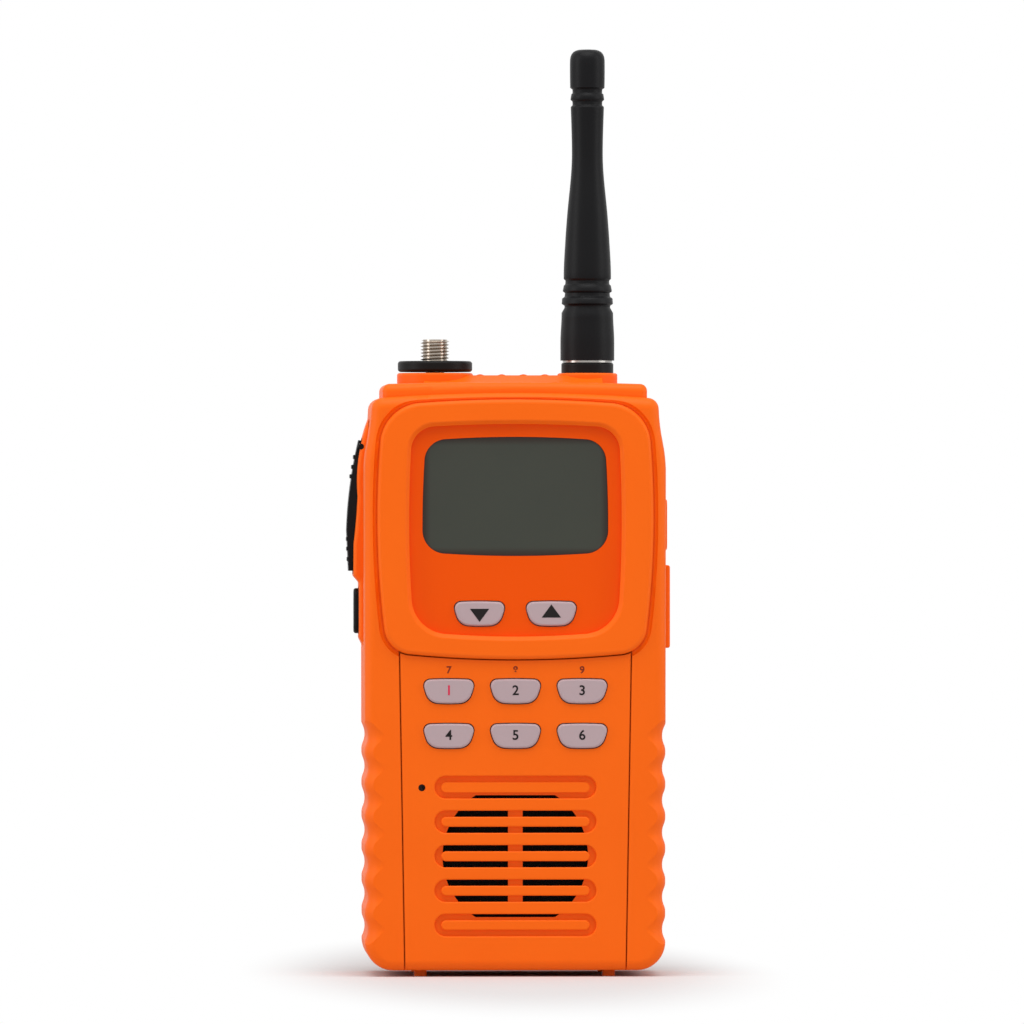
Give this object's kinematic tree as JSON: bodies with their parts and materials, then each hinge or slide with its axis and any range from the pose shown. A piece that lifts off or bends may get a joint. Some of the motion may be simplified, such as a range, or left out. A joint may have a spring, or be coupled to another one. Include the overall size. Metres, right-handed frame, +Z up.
{
  "type": "vhf marine radio",
  "caption": "Upright handheld marine radio with a display window, front keys, speaker grille, talk lever, screw-on aerial, battery pack and belt clip.",
  "frame": {"origin": "middle of the bounding box's bottom face, under the feet, on the case's left-right middle plane", "axes": "+X to the right of a person facing the display, +Y from the display to the back, +Z up along the aerial"},
  "size_m": [0.0687, 0.0429, 0.1969],
  "materials": {
    "case_orange": "satin, finely grained",
    "panel_orange": "semi-gloss",
    "window_grey": "gloss",
    "lcd_grey": "satin",
    "key_grey": "satin",
    "mat_grey": "matte",
    "board_green": "satin",
    "spring_steel": "bright",
    "black_plastic": "satin",
    "black_rubber": "matte",
    "speaker_paper": "matte",
    "magnet_grey": "matte",
    "black_cloth": "woven",
    "seal_rubber": "matte",
    "nickel_stud": "bright",
    "nickel_ring": "bright",
    "brass": "bright",
    "mic_metal": "satin",
    "cell_foil": "satin"
  },
  "bodies": {
    "case": {"front_case": "case_orange", "display_surround": "case_orange", "display_panel": "panel_orange", "display_window": "window_grey", "lcd_module": "lcd_grey", "lower_panel": "case_orange", "keypad_mat": "mat_grey", "keypad_board": "board_green", "key_domes": "spring_steel", "main_board": "board_green", "rf_shield": "spring_steel", "speaker_basket": "spring_steel", "speaker_cone": "speaker_paper", "speaker_magnet": "magnet_grey", "speaker_cloth": "black_cloth", "microphone": "mic_metal", "rear_case": "case_orange", "case_seal": "seal_rubber", "case_screws": "nickel_stud", "threaded_inserts": "brass", "battery_contacts": "brass", "contact_seal": "seal_rubber", "volume_control": "black_plastic", "spindle_seal": "seal_rubber", "aerial_collar": "black_plastic", "aerial_jack": "brass", "lever_pin": "nickel_stud", "side_switches": "black_plastic", "cover_pin": "nickel_stud", "accessory_sockets": "black_plastic"},
    "dial": {"volume_dial": "black_plastic", "dial_spindle": "nickel_stud"},
    "aerial_ring": {"aerial_seal": "seal_rubber"},
    "aerial": {"aerial_fitting": "nickel_ring", "aerial_element": "spring_steel", "aerial_whip": "black_rubber"},
    "talk_lever": {"talk_lever": "black_rubber"},
    "side_button": {"side_button": "black_rubber"},
    "function_button": {"function_button": "case_orange"},
    "socket_cover": {"socket_cover": "case_orange"},
    "battery": {"battery_case": "case_orange", "battery_lid": "black_plastic", "battery_cells": "cell_foil", "battery_terminals": "brass", "battery_board": "board_green", "clip_plate": "black_plastic", "clip_screws": "nickel_stud", "clip_pin": "nickel_stud", "clip_spring": "spring_steel"},
    "thumb_screw_left": {"thumb_screw_left": "nickel_stud"},
    "thumb_screw_right": {"thumb_screw_right": "nickel_stud"},
    "belt_clip": {"belt_clip": "black_plastic"},
    "key_down": {"key_down": "key_grey"},
    "key_up": {"key_up": "key_grey"},
    "key_1": {"key_1": "key_grey"},
    "key_2": {"key_2": "key_grey"},
    "key_3": {"key_3": "key_grey"},
    "key_4": {"key_4": "key_grey"},
    "key_5": {"key_5": "key_grey"},
    "key_6": {"key_6": "key_grey"}
  },
  "joints": [
    {"name": "key_down_press", "type": "slide", "parent": "case", "child": "key_down", "axis": [0, 1, 0], "range_m": [0, 0.00045], "stiffness_N_per_m": 600, "springref_m": -0.002},
    {"name": "key_up_press", "type": "slide", "parent": "case", "child": "key_up", "axis": [0, 1, 0], "range_m": [0, 0.00045], "stiffness_N_per_m": 600, "springref_m": -0.002},
    {"name": "key_1_press", "type": "slide", "parent": "case", "child": "key_1", "axis": [0, 1, 0], "range_m": [0, 0.00045], "stiffness_N_per_m": 600, "springref_m": -0.002},
    {"name": "key_2_press", "type": "slide", "parent": "case", "child": "key_2", "axis": [0, 1, 0], "range_m": [0, 0.00045], "stiffness_N_per_m": 600, "springref_m": -0.002},
    {"name": "key_3_press", "type": "slide", "parent": "case", "child": "key_3", "axis": [0, 1, 0], "range_m": [0, 0.00045], "stiffness_N_per_m": 600, "springref_m": -0.002},
    {"name": "key_4_press", "type": "slide", "parent": "case", "child": "key_4", "axis": [0, 1, 0], "range_m": [0, 0.00045], "stiffness_N_per_m": 600, "springref_m": -0.002},
    {"name": "key_5_press", "type": "slide", "parent": "case", "child": "key_5", "axis": [0, 1, 0], "range_m": [0, 0.00045], "stiffness_N_per_m": 600, "springref_m": -0.002},
    {"name": "key_6_press", "type": "slide", "parent": "case", "child": "key_6", "axis": [0, 1, 0], "range_m": [0, 0.00045], "stiffness_N_per_m": 600, "springref_m": -0.002},
    {"name": "talk_lever_press", "type": "hinge", "parent": "case", "child": "talk_lever", "pos_m": [-0.03235, -0.0023, 0.1122], "axis": [0, -1, 0], "range_deg": [0, 2.6], "stiffness_Nm_per_rad": 0.8, "springref_deg": -2.86},
    {"name": "side_button_press", "type": "slide", "parent": "case", "child": "side_button", "axis": [1, 0, 0], "range_m": [0, 0.0006], "stiffness_N_per_m": 600, "springref_m": -0.002},
    {"name": "function_button_press", "type": "slide", "parent": "case", "child": "function_button", "axis": [-1, 0, 0], "range_m": [0, 0.0006], "stiffness_N_per_m": 600, "springref_m": -0.002},
    {"name": "socket_cover_swing", "type": "hinge", "parent": "case", "child": "socket_cover", "pos_m": [0.032, 0.0023, 0.0782], "axis": [0, 0, 1], "range_deg": [0, 90]},
    {"name": "dial_turn", "type": "hinge", "parent": "case", "child": "dial", "pos_m": [-0.0164, 0.0006, 0.129], "axis": [0, 0, -1], "range_deg": [0, 280]},
    {"name": "aerial_rise", "type": "slide", "parent": "case", "child": "aerial_ring", "axis": [0, 0, 1], "range_m": [0, 0.007]},
    {"name": "aerial_turn", "type": "hinge", "parent": "aerial_ring", "child": "aerial", "pos_m": [0.0161, 0.0006, 0.1303], "axis": [0, 0, 1], "range_deg": [0, 3610]},
    {"name": "battery_slide", "type": "slide", "parent": "case", "child": "battery", "axis": [0, 1, 0], "range_m": [0, 0.03]},
    {"name": "thumb_screw_left_turn", "type": "hinge", "parent": "battery", "child": "thumb_screw_left", "pos_m": [-0.0205, 0.012, 0.0094], "axis": [0, 1, 0], "range_deg": [0, 1800]},
    {"name": "thumb_screw_right_turn", "type": "hinge", "parent": "battery", "child": "thumb_screw_right", "pos_m": [0.0205, 0.012, 0.0094], "axis": [0, 1, 0], "range_deg": [0, 1800]},
    {"name": "belt_clip_swing", "type": "hinge", "parent": "battery", "child": "belt_clip", "pos_m": [0, 0.0174, 0.084], "axis": [1, 0, 0], "range_deg": [0, 12], "stiffness_Nm_per_rad": 0.5, "springref_deg": -8.59}
  ],
  "couplings": [
    {"joint": "aerial_turn", "follows": "aerial_rise", "rad_per_m": 8976}
  ]
}
